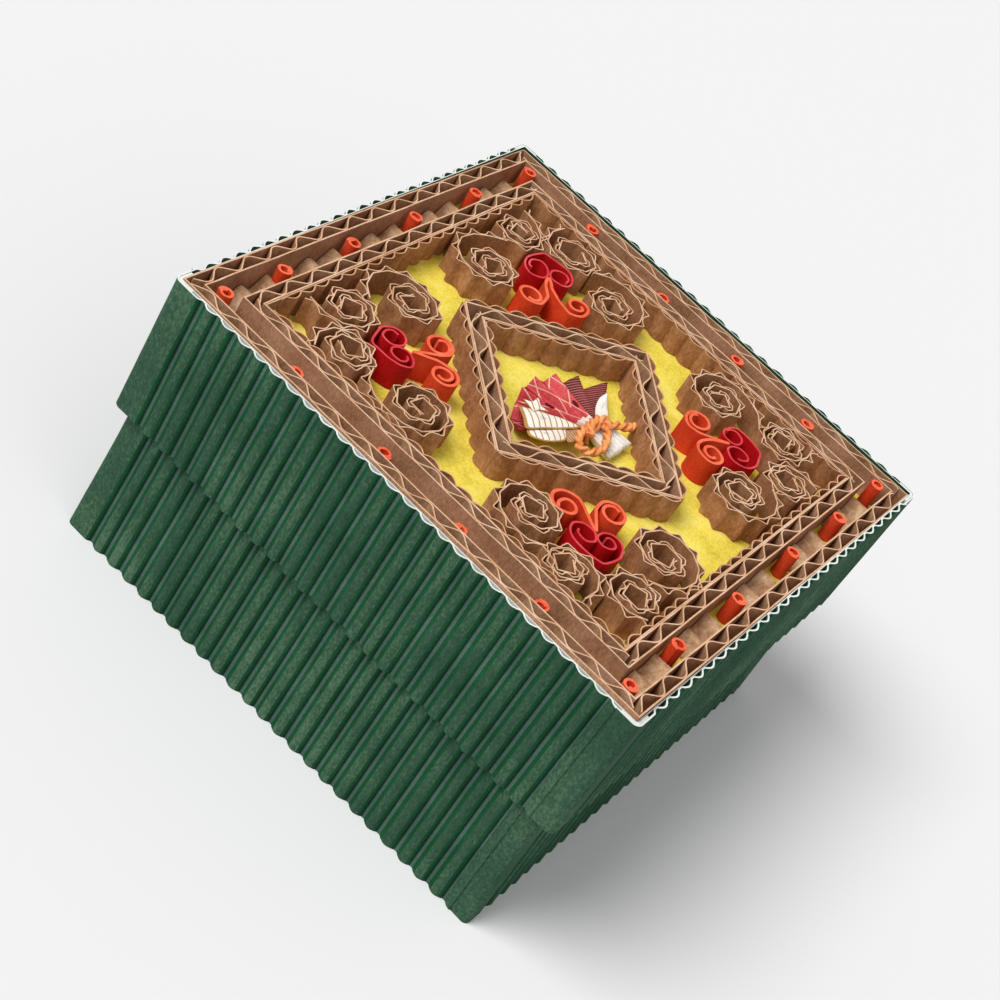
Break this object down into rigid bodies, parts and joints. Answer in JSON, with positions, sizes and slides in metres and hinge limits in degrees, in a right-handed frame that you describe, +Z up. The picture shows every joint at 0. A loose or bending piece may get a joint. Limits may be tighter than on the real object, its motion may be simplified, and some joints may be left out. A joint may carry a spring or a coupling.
{
  "type": "decorated gift box",
  "caption": "Square corrugated paper gift box with a lift-off lid decorated with rolled paper coils, scrolls, a framed diamond and a small tied fan.",
  "frame": {"origin": "middle of the base's underside", "axes": "+Z up out of the lid, +Y towards the side with the six back tubes, +X to the right seen from the front"},
  "size_m": [0.0954, 0.0954, 0.054],
  "materials": {
    "green_board": "matte",
    "grey_card": "matte",
    "yellow_card": "matte",
    "kraft_board": "matte",
    "kraft_lining": "matte",
    "orange_tube_paper": "matte",
    "crimson_paper": "matte",
    "orange_paper": "matte",
    "patterned_paper": "matte",
    "orange_cord": "matte"
  },
  "bodies": {
    "base": {"base_wall": "green_board", "base_floor": "grey_card"},
    "lid": {"lid_wall": "green_board", "lid_panel": "yellow_card", "outer_frame": "kraft_board", "inner_frame": "kraft_board", "inner_frame_lining": "kraft_lining", "diamond_core": "kraft_board", "diamond_outer_lining": "kraft_lining", "diamond_inner_lining": "kraft_lining", "paper_fan": "patterned_paper", "cord_bow": "orange_cord", "orange_tube_01": "orange_tube_paper", "orange_tube_02": "orange_tube_paper", "orange_tube_03": "orange_tube_paper", "orange_tube_04": "orange_tube_paper", "orange_tube_05": "orange_tube_paper", "orange_tube_06": "orange_tube_paper", "orange_tube_07": "orange_tube_paper", "orange_tube_08": "orange_tube_paper", "orange_tube_09": "orange_tube_paper", "orange_tube_10": "orange_tube_paper", "orange_tube_11": "orange_tube_paper", "orange_tube_12": "orange_tube_paper", "orange_tube_13": "orange_tube_paper", "orange_tube_14": "orange_tube_paper", "orange_tube_15": "orange_tube_paper", "orange_tube_16": "orange_tube_paper", "orange_tube_17": "orange_tube_paper", "orange_tube_18": "orange_tube_paper", "orange_tube_19": "orange_tube_paper", "orange_tube_20": "orange_tube_paper", "kraft_coil_01": "kraft_lining", "kraft_coil_02": "kraft_lining", "kraft_coil_03": "kraft_lining", "kraft_coil_04": "kraft_lining", "kraft_coil_05": "kraft_lining", "kraft_coil_06": "kraft_lining", "kraft_coil_07": "kraft_lining", "kraft_coil_08": "kraft_lining", "kraft_coil_09": "kraft_lining", "kraft_coil_10": "kraft_lining", "kraft_coil_11": "kraft_lining", "kraft_coil_12": "kraft_lining", "kraft_coil_13": "kraft_lining", "kraft_coil_14": "kraft_lining", "kraft_coil_15": "kraft_lining", "kraft_coil_16": "kraft_lining", "crimson_scroll_1": "crimson_paper", "crimson_scroll_2": "crimson_paper", "crimson_scroll_3": "crimson_paper", "crimson_scroll_4": "crimson_paper", "orange_scroll_1": "orange_paper", "orange_scroll_2": "orange_paper", "orange_scroll_3": "orange_paper", "orange_scroll_4": "orange_paper"}
  },
  "joints": [
    {"name": "lid_lift", "type": "slide", "parent": "base", "child": "lid", "axis": [0, 0, 1], "range_m": [0, 0.03]}
  ]
}
